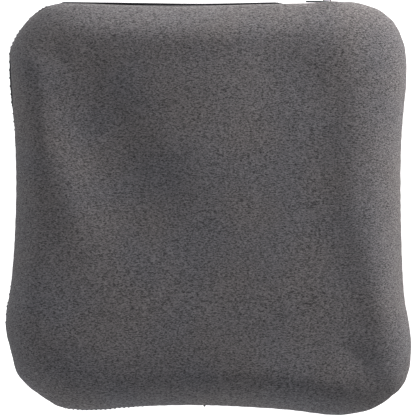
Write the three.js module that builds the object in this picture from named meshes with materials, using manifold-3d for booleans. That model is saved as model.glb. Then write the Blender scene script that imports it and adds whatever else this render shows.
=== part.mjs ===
// Kneeling pad: a two-layer foam core in a liner and a zip-off cover.
//
// Millimetres, +Z up, X across the pad, +Y towards the back edge, where the zip is.
// The origin is on the ground, under the middle of the pad's box.
// A suede top panel and a grippy bottom panel meet in one seam half-way up the sides.

import * as THREE from 'three';
import { mergeVertices } from 'three/addons/utils/BufferGeometryUtils.js';
import Module from 'manifold-3d';

const wasm = await Module();
wasm.setup();

// ---- Driving dimensions -------------------------------------------------------------------

// The stuffed cover, measured over its outside
const PAD_WIDTH = 406;
const PAD_DEPTH = 414;
const PAD_THICKNESS = 66;
const CORNER_RADIUS = 62;
const SIDE_PULL = 5;         // how far each long side draws in, half-way between its corners
const FRONT_PULL = 5.5;
const BACK_PULL = 2;
const SEAM_Z = 30;           // height of the seam, which is also where the pad is widest
const CROWN = 6;             // how far the middle of the top stands over the start of the edge roll
const TOP_ROLL = 38;         // width of the rounded edge above the seam
const BOTTOM_ROLL = 32;      // width of the rounded edge below it

// Cloth and foam
const COVER_THICKNESS = 1.6;
const LINER_THICKNESS = 0.8;
const LAYER_GAP = 0.4;       // between cover and liner, and between liner and foam
const SEAM_HOLLOW = 8.5;     // the foam stops this far inside the seam, where the cover comes to an edge
const FOAM_SPLIT_Z = 43;     // where the comfort layer lies on the base layer
const TOUCHING_GAP = 0.3;

// Zip, a gauge 5 coil chain, whose middle line runs along X at the seam's height
const CHAIN_LEFT = -143;
const CHAIN_RIGHT = 126;
const COIL_HALF_WIDTH = 3.2;
const COIL_DEPTH = 1.8;
const COIL_SPLIT = 0.6;      // half of the slit between the two rows, where the slider's post runs
const TAPE_THICKNESS = 0.7;
const TAPE_REACH = 10.5;       // from the chain's middle line to the tape's outer edge
const TAPE_SPLIT = 0.9;
const TAPE_OVERRUN = 7.5;      // tape beyond each end of the chain
const HEM_HALF_GAP = 5.6;    // half of the gap between the two panels' hems
const HEM_OVERRUN = 4.5;
const TAPE_CLEARANCE = 1.0;  // between the tape and the inside of the cover
const STOP_LENGTH = 3.2;
const STOP_HEIGHT = 2;

// Slider and pull tab
const SLIDER_X = 119;        // its middle, with the zip closed
const SLIDER_LENGTH = 11;
const SLIDER_HALF_WIDTH = 4.4;
const PLATE_THICKNESS = 1.2;
const FLANGE_THICKNESS = 0.8;
const POST_HALF_WIDTH = 0.3;
const BRIDGE_HALF_LENGTH = 4;
const BRIDGE_HALF_WIDTH = 0.9;
const BRIDGE_HEIGHT = 4.2;
const BRIDGE_LEG = 1.2;
const BRIDGE_CLEAR_HEIGHT = 3.15;
const TAB_PIVOT_X = 1.5;     // from the slider's middle
const TAB_PIVOT_HEIGHT = 1.95;
const TAB_LENGTH = 23;
const TAB_HALF_WIDTH = 2.9;
const TAB_THICKNESS = 1.2;
const TAB_WINDOW = 6.4;
const TAB_WINDOW_HALF_WIDTH = 1.3;

// Facets
const ROUND_SEGMENTS = 56;   // round the pad
const FLAT_RINGS = 4;        // from the middle to the start of the edge roll
const ROLL_RINGS = 6;        // over the edge roll
const CORNER_CROWDING = 0.5; // how much closer the facets stand at the corners

// ---- Derived dimensions -------------------------------------------------------------------

const HALF_WIDTH = PAD_WIDTH / 2;
const HALF_DEPTH = PAD_DEPTH / 2;

// Outward distances are measured from the outer face of the tape, in the chain's own frame
const COIL_FRONT = TOUCHING_GAP + COIL_DEPTH;
const FRONT_PLATE_BACK = COIL_FRONT + TOUCHING_GAP;
const FRONT_PLATE_FRONT = FRONT_PLATE_BACK + PLATE_THICKNESS;
const BACK_PLATE_FRONT = -TAPE_THICKNESS - TOUCHING_GAP;
const BACK_PLATE_BACK = BACK_PLATE_FRONT - PLATE_THICKNESS;
const TAPE_INSET = BACK_PULL + COVER_THICKNESS + TAPE_CLEARANCE;
const SLIDER_PROUD = FRONT_PLATE_FRONT + BRIDGE_HEIGHT - TAPE_INSET;

// The slider stands out past the back edge, so the pad's middle lies a little forward of the origin
const PAD_MIDDLE_Y = -SLIDER_PROUD / 2;
const TAPE_FACE_Y = PAD_MIDDLE_Y + HALF_DEPTH - TAPE_INSET;

// ---- Materials ----------------------------------------------------------------------------

function material(color, roughness, metalness = 0) {
  return new THREE.MeshStandardMaterial({ color, roughness, metalness });
}

// ---- Solids and meshes --------------------------------------------------------------------

function solidFrom(geometry) {
  const bare = geometry.clone();
  bare.deleteAttribute('normal');
  bare.deleteAttribute('uv');
  const merged = mergeVertices(bare, 1e-4);
  const vertProperties = new Float32Array(merged.attributes.position.array);
  const triVerts = new Uint32Array(merged.index.array);
  return new wasm.Manifold(new wasm.Mesh({ numProp: 3, vertProperties, triVerts }));
}

function geometryFrom(solid) {
  const { vertProperties, triVerts } = solid.getMesh();
  const geometry = new THREE.BufferGeometry();
  geometry.setAttribute('position', new THREE.BufferAttribute(vertProperties, 3));
  geometry.setIndex(new THREE.BufferAttribute(triVerts, 1));
  geometry.computeVertexNormals();
  return geometry;
}

function boxSolid(low, high) {
  const size = high.map((value, i) => value - low[i]);
  const geometry = new THREE.BoxGeometry(...size);
  geometry.translate(...low.map((value, i) => value + size[i] / 2));
  return solidFrom(geometry);
}

function named(name, geometry, look) {
  const mesh = new THREE.Mesh(geometry, look);
  mesh.name = name;
  return mesh;
}

// ---- The stuffed form ---------------------------------------------------------------------

// How strongly a side is drawn in: 1 half-way along it, 0 where its corners begin
function pullWeight(along, straightHalf) {
  const share = Math.min(1, Math.abs(along) / straightHalf);
  return (1 - share * share) ** 2;
}

// The point of the pad's outline at an angle, seen from above: a rectangle with round corners and
// sides that draw in between them
function outlinePoint(angle, inset) {
  const halfX = HALF_WIDTH - inset;
  const halfY = HALF_DEPTH - inset;
  const radius = CORNER_RADIUS - inset;
  const centreX = halfX - radius;
  const centreY = halfY - radius;
  const dx = Math.abs(Math.cos(angle));
  const dy = Math.abs(Math.sin(angle));
  let reach;
  if (halfX * dy <= centreY * dx) {
    reach = halfX / dx;
  } else if (halfY * dx <= centreX * dy) {
    reach = halfY / dy;
  } else {
    const along = dx * centreX + dy * centreY;
    reach = along + Math.sqrt(along ** 2 - centreX ** 2 - centreY ** 2 + radius ** 2);
  }
  const x = reach * Math.cos(angle);
  const y = reach * Math.sin(angle);
  const endPull = y > 0 ? BACK_PULL : FRONT_PULL;
  return [
    x * (1 - (SIDE_PULL / HALF_WIDTH) * pullWeight(y, centreY)),
    y * (1 - (endPull / HALF_DEPTH) * pullWeight(x, centreX)),
  ];
}

// The pad's section from its middle (step 0) to the seam (step 1): how far out, as a share of the
// outline, and how high, as shares of the roll and of the crown
function sectionPoint(step, rollShare) {
  const rings = FLAT_RINGS + ROLL_RINGS;
  const ring = step * rings;
  if (ring <= FLAT_RINGS) {
    const out = (1 - rollShare) * (ring / FLAT_RINGS);
    return { out, roll: 1 };
  }
  const turn = ((ring - FLAT_RINGS) / ROLL_RINGS) * (Math.PI / 2);
  return { out: 1 - rollShare + rollShare * Math.sin(turn), roll: Math.cos(turn) };
}

// A closed stuffed form, inset by a different amount at its edge, top and bottom
function stuffedForm(edgeInset, faceInset) {
  const form = new THREE.SphereGeometry(1, ROUND_SEGMENTS, 2 * (FLAT_RINGS + ROLL_RINGS));
  form.rotateX(Math.PI / 2);
  const places = form.attributes.position;
  const rollHeight = PAD_THICKNESS - CROWN - SEAM_Z - faceInset;
  const baseHeight = SEAM_Z - faceInset;
  for (let i = 0; i < places.count; i += 1) {
    const height = THREE.MathUtils.clamp(places.getZ(i), -1, 1);
    const evenAngle = Math.atan2(places.getY(i), places.getX(i));
    const angle = evenAngle + (CORNER_CROWDING / 4) * Math.sin(4 * evenAngle);
    const step = Math.acos(Math.abs(height)) / (Math.PI / 2);
    const rollWidth = height >= 0 ? TOP_ROLL : BOTTOM_ROLL;
    const { out, roll } = sectionPoint(step, rollWidth / HALF_WIDTH);
    const [edgeX, edgeY] = outlinePoint(angle, edgeInset);
    const rise = rollHeight * roll + CROWN * (1 - out * out) * Math.sqrt(roll);
    const z = height >= 0 ? SEAM_Z + rise : SEAM_Z - baseHeight * roll;
    places.setXYZ(i, edgeX * out, PAD_MIDDLE_Y + edgeY * out, z);
  }
  return solidFrom(form);
}

const FAR = 300;

function above(z) {
  return boxSolid([-FAR, -FAR, z], [FAR, FAR, FAR]);
}

function below(z) {
  return boxSolid([-FAR, -FAR, -FAR], [FAR, FAR, z]);
}

// A slot through the back wall, along the zip
function backSlot(left, right, halfHeight) {
  return boxSolid([left, 0, SEAM_Z - halfHeight], [right, FAR, SEAM_Z + halfHeight]);
}

// ---- Cover --------------------------------------------------------------------------------

function coverPanels() {
  const outside = stuffedForm(0, 0);
  const inside = stuffedForm(COVER_THICKNESS, COVER_THICKNESS);
  const hemGap = backSlot(CHAIN_LEFT - HEM_OVERRUN, CHAIN_RIGHT + HEM_OVERRUN, HEM_HALF_GAP);
  const shell = outside.subtract(inside).subtract(hemGap);
  const suede = material(0x555253, 0.95);
  const gripCloth = material(0x17171a, 0.9);
  return [
    named('cover_top_panel', geometryFrom(shell.intersect(above(SEAM_Z + TOUCHING_GAP / 2))), suede),
    named('cover_bottom_panel', geometryFrom(shell.intersect(below(SEAM_Z - TOUCHING_GAP / 2))), gripCloth),
  ];
}

// ---- Core ---------------------------------------------------------------------------------

// The liner's own opening faces the zip, so that the foam can be pushed in
function innerLiner() {
  const faceInset = COVER_THICKNESS + LAYER_GAP;
  const outside = stuffedForm(SEAM_HOLLOW, faceInset);
  const inside = stuffedForm(SEAM_HOLLOW + LINER_THICKNESS, faceInset + LINER_THICKNESS);
  const opening = backSlot(CHAIN_LEFT + HEM_OVERRUN, CHAIN_RIGHT - HEM_OVERRUN, HEM_HALF_GAP);
  const sleeve = outside.subtract(inside).subtract(opening);
  return named('inner_liner', geometryFrom(sleeve), material(0xe6e4de, 0.9));
}

function foamLayers() {
  const inset = LINER_THICKNESS + LAYER_GAP;
  const core = stuffedForm(SEAM_HOLLOW + inset, COVER_THICKNESS + LAYER_GAP + inset);
  const comfort = core.intersect(above(FOAM_SPLIT_Z));
  const base = core.intersect(below(FOAM_SPLIT_Z - TOUCHING_GAP));
  return [
    named('foam_comfort_layer', geometryFrom(comfort), material(0xe9dfae, 0.95)),
    named('foam_base_layer', geometryFrom(base), material(0x8d949b, 0.95)),
  ];
}

// ---- Zip ----------------------------------------------------------------------------------
// Everything below is drawn in the chain's own frame: X along the chain, Y outwards from the
// tape's face, Z up from the chain's middle line. Side 1 is the upper row and side -1 the lower.

// How far the cover's inside falls back from its widest line, at a height from the seam
function fallBack(height, side) {
  const top = side > 0;
  const rollHeight = (top ? PAD_THICKNESS - CROWN - SEAM_Z : SEAM_Z) - COVER_THICKNESS;
  const rollWidth = (top ? TOP_ROLL : BOTTOM_ROLL) - COVER_THICKNESS;
  return rollWidth * (1 - Math.sqrt(1 - (height / rollHeight) ** 2));
}

// Extrudes an outline drawn as (outwards, up) along the chain, from left to right
function alongChain(outline, left, right) {
  const geometry = new THREE.ExtrudeGeometry(outline, { depth: right - left, bevelEnabled: false });
  geometry.rotateX(Math.PI / 2);
  geometry.rotateZ(Math.PI / 2);
  geometry.translate(left, 0, 0);
  return geometry;
}

// Extrudes an outline drawn as (along, up) outwards, between two distances from the tape's face
function outwards(outline, from, to) {
  const geometry = new THREE.ExtrudeGeometry(outline, { depth: to - from, bevelEnabled: false });
  geometry.rotateX(Math.PI / 2);
  geometry.translate(0, to, 0);
  return geometry;
}

function polygon(points) {
  return new THREE.Shape(points.map(([x, y]) => new THREE.Vector2(x, y)));
}

// The woven tape: flat where the slider's plates pass it, then bent to follow the curve of the panel
// that it is sewn behind
function tapeGeometry(side) {
  const bends = 3;
  const face = [[0, side * TAPE_SPLIT]];
  const back = [[-TAPE_THICKNESS, side * TAPE_SPLIT]];
  for (let i = 0; i <= bends; i += 1) {
    const share = i / bends;
    const height = HEM_HALF_GAP + (TAPE_REACH - HEM_HALF_GAP) * share;
    const out = -fallBack(height, side) * share;
    face.push([out, side * height]);
    back.unshift([out - TAPE_THICKNESS, side * height]);
  }
  const left = CHAIN_LEFT - TAPE_OVERRUN;
  const right = CHAIN_RIGHT + TAPE_OVERRUN;
  return alongChain(polygon([...face, ...back]), left, right);
}

// The envelope of one coil row: a flat back on the tape and a rounded front
function coilGeometry(side) {
  const front = TOUCHING_GAP + COIL_DEPTH;
  const shoulder = TOUCHING_GAP + COIL_DEPTH / 2;
  const inner = COIL_SPLIT;
  const outer = COIL_HALF_WIDTH;
  const chamfer = (outer - inner) / 4;
  const section = [
    [TOUCHING_GAP, side * inner],
    [shoulder, side * inner],
    [front, side * (inner + chamfer)],
    [front, side * (outer - chamfer)],
    [shoulder, side * outer],
    [TOUCHING_GAP, side * outer],
  ];
  return alongChain(polygon(section), CHAIN_LEFT, CHAIN_RIGHT);
}

function stopGeometry(left, low, high) {
  const corner = 0.5;
  const right = left + STOP_LENGTH;
  const outline = polygon([
    [left + corner, low],
    [right - corner, low],
    [right, low + corner],
    [right, high - corner],
    [right - corner, high],
    [left + corner, high],
    [left, high - corner],
    [left, low + corner],
  ]);
  return outwards(outline, TOUCHING_GAP, TOUCHING_GAP + STOP_HEIGHT);
}

function zipTapesAndChain() {
  const cloth = material(0x141418, 0.9);
  const nylon = material(0x1a1a1e, 0.5);
  const metal = material(0x2b2b30, 0.4, 0.7);
  const stopLeft = CHAIN_RIGHT + TOUCHING_GAP;
  const bottomStopLeft = CHAIN_LEFT - TOUCHING_GAP - STOP_LENGTH;
  const meshes = [];
  for (const [word, side] of [['upper', 1], ['lower', -1]]) {
    const [low, high] = [side * COIL_SPLIT, side * COIL_HALF_WIDTH].sort((a, b) => a - b);
    meshes.push(named(`zipper_tape_${word}`, tapeGeometry(side), cloth.clone()));
    meshes.push(named(`zipper_coil_${word}`, coilGeometry(side), nylon.clone()));
    meshes.push(named(`top_stop_${word}`, stopGeometry(stopLeft, low, high), metal.clone()));
  }
  const bottomStop = stopGeometry(bottomStopLeft, -COIL_HALF_WIDTH, COIL_HALF_WIDTH);
  meshes.push(named('bottom_stop', bottomStop, metal.clone()));
  return meshes;
}

// A slider plate with clipped tail corners and a notched nose, where the two rows enter
function plateOutline() {
  const nose = SLIDER_LENGTH / 2;
  const half = SLIDER_HALF_WIDTH;
  const clip = 1;
  return polygon([
    [-nose, -half + clip],
    [-nose + clip, -half],
    [nose - clip / 2, -half],
    [nose, -half + clip / 2],
    [nose, -clip],
    [nose - clip, 0],
    [nose, clip],
    [nose, half - clip / 2],
    [nose - clip / 2, half],
    [-nose + clip, half],
    [-nose, half - clip],
  ]);
}

// The arch that holds the pull tab, drawn in side view as (along, outwards)
function bridgeGeometry() {
  const foot = FRONT_PLATE_FRONT - PLATE_THICKNESS / 2;
  const top = FRONT_PLATE_FRONT + BRIDGE_HEIGHT;
  const clearTop = FRONT_PLATE_FRONT + BRIDGE_CLEAR_HEIGHT;
  const half = BRIDGE_HALF_LENGTH;
  const clearHalf = half - BRIDGE_LEG;
  const shoulder = 1.4;
  const arch = new THREE.Shape();
  arch.moveTo(-half, foot);
  arch.lineTo(-clearHalf, foot);
  arch.lineTo(-clearHalf, clearTop);
  arch.lineTo(clearHalf, clearTop);
  arch.lineTo(clearHalf, foot);
  arch.lineTo(half, foot);
  arch.lineTo(half, top - shoulder);
  arch.quadraticCurveTo(half, top, half - shoulder, top);
  arch.lineTo(-half + shoulder, top);
  arch.quadraticCurveTo(-half, top, -half, top - shoulder);
  const settings = { depth: 2 * BRIDGE_HALF_WIDTH, bevelEnabled: false, curveSegments: 4 };
  const geometry = new THREE.ExtrudeGeometry(arch, settings);
  geometry.translate(0, 0, -BRIDGE_HALF_WIDTH);
  return geometry;
}

function sliderBody() {
  const overlap = 0.2;
  const nose = SLIDER_LENGTH / 2;
  const half = SLIDER_HALF_WIDTH;
  const postRight = nose - 1.4;
  const postLeft = postRight - 2;
  let body = solidFrom(outwards(plateOutline(), FRONT_PLATE_BACK, FRONT_PLATE_FRONT));
  body = body.add(solidFrom(outwards(plateOutline(), BACK_PLATE_BACK, BACK_PLATE_FRONT)));
  body = body.add(boxSolid(
    [postLeft, BACK_PLATE_FRONT - overlap, -POST_HALF_WIDTH],
    [postRight, FRONT_PLATE_BACK + overlap, POST_HALF_WIDTH],
  ));
  for (const side of [1, -1]) {
    const [low, high] = [side * (half - FLANGE_THICKNESS), side * half].sort((a, b) => a - b);
    const flange = boxSolid([1 - nose, TOUCHING_GAP, low], [nose - 0.5, FRONT_PLATE_BACK + overlap, high]);
    body = body.add(flange);
  }
  body = body.add(solidFrom(bridgeGeometry()));
  return named('slider_body', geometryFrom(body), material(0x2b2b30, 0.4, 0.7));
}

// The pull tab lies along the chain, towards -X, with the bridge through its window
function pullTab() {
  const half = TAB_HALF_WIDTH;
  const bar = TAB_THICKNESS / 2;
  const roundCentre = -(TAB_LENGTH - half);
  const outline = new THREE.Shape();
  outline.moveTo(bar, -half);
  outline.lineTo(bar, half);
  outline.lineTo(roundCentre, half);
  outline.absarc(roundCentre, 0, half, Math.PI / 2, (3 * Math.PI) / 2, false);
  outline.closePath();
  const window = new THREE.Path();
  window.moveTo(-bar, -TAB_WINDOW_HALF_WIDTH);
  window.lineTo(-TAB_WINDOW, -TAB_WINDOW_HALF_WIDTH);
  window.lineTo(-TAB_WINDOW, TAB_WINDOW_HALF_WIDTH);
  window.lineTo(-bar, TAB_WINDOW_HALF_WIDTH);
  window.closePath();
  const eye = new THREE.Path();
  eye.absarc(roundCentre, 0, half / 2, 0, 2 * Math.PI, true);
  outline.holes.push(window, eye);
  const settings = { depth: TAB_THICKNESS, bevelEnabled: false, curveSegments: 10 };
  const geometry = new THREE.ExtrudeGeometry(outline, settings);
  geometry.rotateX(Math.PI / 2);
  geometry.translate(0, TAB_THICKNESS / 2, 0);
  const mesh = named('pull_tab', geometry, material(0x2b2b30, 0.4, 0.7));
  mesh.position.set(TAB_PIVOT_X, FRONT_PLATE_FRONT + TAB_PIVOT_HEIGHT, 0);
  return mesh;
}

function zip() {
  const chainFrame = new THREE.Group();
  chainFrame.position.set(0, TAPE_FACE_Y, SEAM_Z);
  chainFrame.add(...zipTapesAndChain());
  const sliderFrame = new THREE.Group();
  sliderFrame.position.x = SLIDER_X;
  sliderFrame.add(sliderBody(), pullTab());
  chainFrame.add(sliderFrame);
  return chainFrame;
}

// ---- The whole pad ------------------------------------------------------------------------

const pad = new THREE.Group();
pad.add(...coverPanels(), innerLiner(), ...foamLayers(), zip());

export default pad;
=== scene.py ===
"""Kneeling pad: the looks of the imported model.

The stuffed cover is inflated by cloth simulation, then split at its seam into a suede top panel and
a black bottom panel with rubber grip dots. The zip along the back gets its woven tapes, its coils,
its stitching and a bevelled slider with its pull tab.
Metres, +Z up, +Y towards the back edge.
"""
import math

import bmesh
import bpy
import numpy as np
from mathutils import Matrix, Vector
from mathutils.bvhtree import BVHTree


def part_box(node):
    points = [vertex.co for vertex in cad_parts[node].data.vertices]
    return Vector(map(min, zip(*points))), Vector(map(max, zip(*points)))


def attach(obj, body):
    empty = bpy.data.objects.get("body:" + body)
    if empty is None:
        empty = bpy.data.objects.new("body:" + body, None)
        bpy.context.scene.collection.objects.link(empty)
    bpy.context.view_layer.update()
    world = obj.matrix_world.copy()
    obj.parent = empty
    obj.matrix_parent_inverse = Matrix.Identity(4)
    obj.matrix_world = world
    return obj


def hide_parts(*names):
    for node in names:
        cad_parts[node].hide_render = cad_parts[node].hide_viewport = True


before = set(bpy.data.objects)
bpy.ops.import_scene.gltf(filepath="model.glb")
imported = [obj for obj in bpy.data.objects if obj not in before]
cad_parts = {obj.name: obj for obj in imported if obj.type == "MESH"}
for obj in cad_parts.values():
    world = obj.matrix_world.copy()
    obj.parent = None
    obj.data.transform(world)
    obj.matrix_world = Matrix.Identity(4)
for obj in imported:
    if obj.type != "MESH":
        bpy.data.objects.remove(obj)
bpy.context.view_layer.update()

MM = 0.001

# ---- Places and sizes taken from the frame ------------------------------------------------

TOP_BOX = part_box("cover_top_panel")
BOTTOM_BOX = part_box("cover_bottom_panel")
TAPE_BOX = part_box("zipper_tape_upper")
COIL_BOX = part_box("zipper_coil_upper")
COIL_LOW_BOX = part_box("zipper_coil_lower")

SEAM_Z = (TOP_BOX[0].z + BOTTOM_BOX[1].z) / 2
TOP_Z = TOP_BOX[1].z
TAPE_FACE_Y = TAPE_BOX[1].y
CHAIN_LEFT = COIL_BOX[0].x
CHAIN_RIGHT = COIL_BOX[1].x

# ---- Driving dimensions of the soft form --------------------------------------------------

TOP_ROLL = 40 * MM           # width of the rounded edge above the seam
BOTTOM_ROLL = 30 * MM
CROWN = 5 * MM               # the middle of the top over the start of the edge roll
CLOTH_THICKNESS = 1.5 * MM
LINER_THICKNESS = 0.6 * MM
LINER_INSET = CLOTH_THICKNESS + 0.5 * MM
FOAM_INSET = LINER_INSET + LINER_THICKNESS + 0.3 * MM
SEAM_HOLLOW = 6 * MM         # the core stops this much further inside the seam
SEAM_HOLLOW_REACH = 15 * MM
DOT_HEIGHT = 0.8 * MM
INWARD_CAP = 1.2 * MM        # how far the cloth simulation may move a point
OUTWARD_CAP = 4 * MM
SMOOTHING_PASSES = 45        # over the simulated moves, because thick cloth holds no sharp creases
HALF_GRID = 42               # mesh squares from the middle of a panel to its seam
BACK_Y = 150 * MM            # of the cloth near the seam, only the back edge lies past this

# The fullest line of the sides, seen from above: points in mm from the pad's middle, starting at
# the back left corner and going clockwise
OUTLINE = (
    (-184, 185.0), (-172, 196.0), (-159, 203.4), (-144, 206.6), (-126, 206.8), (-95, 205.0),
    (-50, 202.4), (0, 201.8), (45, 203.2), (85, 204.8), (108, 206.0), (130, 207.6), (146, 206.8),
    (161, 203.2), (174, 197.2), (186, 186.4), (193, 174.6), (198.0, 160), (199.6, 140),
    (199.0, 120), (196.4, 92), (194.4, 60), (194.0, 12), (195.0, -42), (197.2, -86), (200.4, -106),
    (203.4, -124), (204.2, -142), (202.2, -162), (195.0, -178.5), (184.0, -188.6),
    (173, -197.2), (160, -203.4), (143, -207.0), (126, -208.2), (106, -206.2), (84, -203.4),
    (45, -200.6), (-5, -198.6), (-50, -199.0), (-86, -201.0), (-120, -203.0), (-146, -200.8),
    (-164, -191.0), (-181, -178.0), (-192.0, -165.4), (-198.5, -142.0), (-203.6, -120.0),
    (-202.4, -101.0), (-198.2, -75), (-194.8, -33), (-193.2, 20), (-194.4, 70), (-197.2, 108),
    (-199.0, 140), (-198.0, 162),
)

# Low swells and hollows of the top: centre, half lengths along the ridge and across it, the
# ridge's direction in degrees from +X, and height, all in mm
SWELLS = (
    ((-148, 34), (80, 28), -69, 2.8),
    ((-120, 42), (75, 24), -69, -2.6),
    ((-96, 66), (85, 41), -63, -8.0),
    ((-3, 77), (75, 50), 69, 4.0),
    ((-30, 95), (45, 35), 5, -2.5),
    ((-18, 176), (85, 22), 0, 4.6),
    ((118, 160), (40, 28), -25, 2.0),
    ((146, 72), (62, 22), 90, 3.2),
    ((162, -47), (75, 24), -74, 4.2),
    ((172, -95), (45, 22), -78, 2.0),
    ((62, -174), (60, 26), 0, 4.0),
)


def catmull_rom(points, steps):
    """A closed smooth curve through the points."""
    p = np.asarray(points, float)
    before, after, beyond = np.roll(p, 1, 0), np.roll(p, -1, 0), np.roll(p, -2, 0)
    out = []
    for i in range(len(p)):
        for t in np.arange(steps) / steps:
            out.append(0.5 * (
                2 * p[i] + (after[i] - before[i]) * t
                + (2 * before[i] - 5 * p[i] + 4 * after[i] - beyond[i]) * t ** 2
                + (3 * p[i] - before[i] - 3 * after[i] + beyond[i]) * t ** 3
            ))
    return np.array(out)


def smoothstep(low, high, value):
    t = np.clip((value - low) / (high - low), 0, 1)
    return t * t * (3 - 2 * t)


def bump(value, middle, half):
    """A bell curve: 1 at the middle, and about a third at a distance of half."""
    return np.exp(-((value - middle) / half) ** 2)


class Outline:
    """How far the sides reach from the pad's middle, at an angle seen from above."""

    def __init__(self, points):
        curve = catmull_rom(points, 16) * MM
        angle = np.arctan2(curve[:, 1], curve[:, 0])
        order = np.argsort(angle)
        self.angle = angle[order]
        self.reach = np.hypot(curve[:, 0], curve[:, 1])[order]

    def at(self, angle):
        return np.interp(angle, self.angle, self.reach, period=2 * math.pi)


SIDES = Outline(OUTLINE)


def section(share, roll, height):
    """Along a panel, from its middle (share 0) to its seam (share 1): the distance inside the
    outline, the height as a share of the panel's, and the whole distance from middle to outline."""
    flat = SIDES.reach.mean() - roll
    arc = math.pi / 2 * math.sqrt((roll ** 2 + height ** 2) / 2)
    along = share * (flat + arc)
    turn = np.clip((along - flat) / arc, 0, 1) * math.pi / 2
    inside = np.where(along < flat, (flat - along) + roll, roll * (1 - np.sin(turn)))
    return inside, np.cos(turn), flat + roll


def panel_points(upper):
    """The grid of one panel as (n, n, 3), with its border on the seam."""
    n = 2 * HALF_GRID + 1
    steps = np.linspace(-1, 1, n)
    a, b = np.meshgrid(steps, steps, indexing="ij")
    share = np.maximum(np.abs(a), np.abs(b))
    angle = np.arctan2(b, a)
    roll = TOP_ROLL if upper else BOTTOM_ROLL
    height = (TOP_Z - CROWN - SEAM_Z) if upper else SEAM_Z
    inside, lift, total = section(share, roll, height)
    reach = SIDES.at(angle)
    out = reach * (1 - inside / total)
    x = out * np.cos(angle)
    y = out * np.sin(angle)
    if upper:
        z = SEAM_Z + height * lift + CROWN * (1 - (1 - inside / total) ** 2) * np.sqrt(lift)
    else:
        z = SEAM_Z - height * lift
    return np.stack([x, y, z], axis=-1)


def grid_faces(index, flip):
    n = index.shape[0]
    faces = []
    for i in range(n - 1):
        for j in range(n - 1):
            quad = (index[i, j], index[i + 1, j], index[i + 1, j + 1], index[i, j + 1])
            faces.append(tuple(reversed(quad)) if flip else quad)
    return faces


def new_object(name, points, faces):
    mesh = bpy.data.meshes.new(name)
    mesh.from_pydata([tuple(p) for p in points], [], [tuple(int(i) for i in f) for f in faces])
    mesh.update()
    mesh.polygons.foreach_set("use_smooth", [True] * len(mesh.polygons))
    obj = bpy.data.objects.new(name, mesh)
    bpy.context.scene.collection.objects.link(obj)
    return obj


def positions(obj):
    co = np.zeros(len(obj.data.vertices) * 3)
    obj.data.vertices.foreach_get("co", co)
    return co.reshape(-1, 3)


def set_positions(obj, co):
    obj.data.vertices.foreach_set("co", np.asarray(co, float).ravel())
    obj.data.update()


def vertex_normals(obj):
    normals = np.zeros(len(obj.data.vertices) * 3)
    obj.data.vertices.foreach_get("normal", normals)
    return normals.reshape(-1, 3)


def apply_modifiers(obj):
    bpy.context.view_layer.update()
    graph = bpy.context.evaluated_depsgraph_get()
    mesh = bpy.data.meshes.new_from_object(obj.evaluated_get(graph))
    obj.modifiers.clear()
    old = obj.data
    obj.data = mesh
    bpy.data.meshes.remove(old)


# ---- The inflated cover -------------------------------------------------------------------

def stuffed_cover():
    """One closed grid of both panels, whose first vertices are the top panel's."""
    n = 2 * HALF_GRID + 1
    top = panel_points(True)
    bottom = panel_points(False)
    index_top = np.arange(n * n).reshape(n, n)
    border = np.zeros((n, n), bool)
    border[[0, -1], :] = True
    border[:, [0, -1]] = True
    index_bottom = index_top.copy()
    index_bottom[~border] = n * n + np.arange((~border).sum())
    points = np.concatenate([top.reshape(-1, 3), bottom[~border]])
    faces = grid_faces(index_top, False) + grid_faces(index_bottom, True)
    cover = new_object("cover", points, faces)
    return cover, index_top, index_bottom, border


def neighbour_mean(mesh, values):
    """The mean of each vertex's neighbours."""
    ends = np.zeros(len(mesh.edges) * 2, int)
    mesh.edges.foreach_get("vertices", ends)
    first, second = ends.reshape(-1, 2).T
    total = np.zeros_like(values)
    count = np.zeros((len(values), 1))
    for here, there in ((first, second), (second, first)):
        np.add.at(total, here, values[there])
        np.add.at(count, here, 1)
    return total / count


PUFF_FRAMES = 20
ON_THE_GROUND = 0.4 * MM
CLOTH_SETTINGS = {
    "quality": 6,
    "mass": 0.3,
    "tension_stiffness": 12,
    "compression_stiffness": 8,
    "shear_stiffness": 5,
    "bending_stiffness": 1.5,
    "use_pressure": True,
    "uniform_pressure_force": 4,
    "shrink_min": -0.012,
}


def hold_still(cover, index_top, border):
    """Names what the simulation leaves alone: the seam, and the cloth that lies on the ground."""
    held = cover.vertex_groups.new(name="held")
    held.add([int(i) for i in index_top[border]], 1.0, "REPLACE")
    flat = [i for i, p in enumerate(positions(cover)) if p[2] < ON_THE_GROUND]
    held.add(flat, 1.0, "REPLACE")
    return held.name


def puffed_positions(cover, held):
    """Where air pressure takes the cover's points, by a cloth simulation without gravity."""
    cloth = cover.modifiers.new("Cloth", "CLOTH")
    for name, value in CLOTH_SETTINGS.items():
        setattr(cloth.settings, name, value)
    cloth.settings.vertex_group_mass = held
    cloth.settings.effector_weights.gravity = 0
    scene = bpy.context.scene
    for span in (scene, cloth.point_cache):
        span.frame_start = 1
        span.frame_end = PUFF_FRAMES
    for number in range(1, PUFF_FRAMES + 1):
        scene.frame_set(number)
    graph = bpy.context.evaluated_depsgraph_get()
    puffed = np.zeros(len(cover.data.vertices) * 3)
    cover.evaluated_get(graph).data.vertices.foreach_get("co", puffed)
    cover.modifiers.clear()
    scene.frame_set(1)
    return puffed.reshape(-1, 3)


def inflate(cover, held):
    """Puffs the cover, and caps how far each point goes. The foam holds the cover out, so a point
    goes inwards by a little at most."""
    start = positions(cover)
    move = puffed_positions(cover, held) - start
    normals = vertex_normals(cover)
    outwards = (move * normals).sum(axis=1, keepdims=True)
    move += normals * (np.clip(outwards, -INWARD_CAP, None) - outwards)
    for _ in range(SMOOTHING_PASSES):
        move = 0.5 * move + 0.5 * neighbour_mean(cover.data, move)
    length = np.linalg.norm(move, axis=1, keepdims=True)
    limited = OUTWARD_CAP * np.tanh(length / OUTWARD_CAP)
    set_positions(cover, start + move * limited / np.maximum(length, 1e-9))


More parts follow.
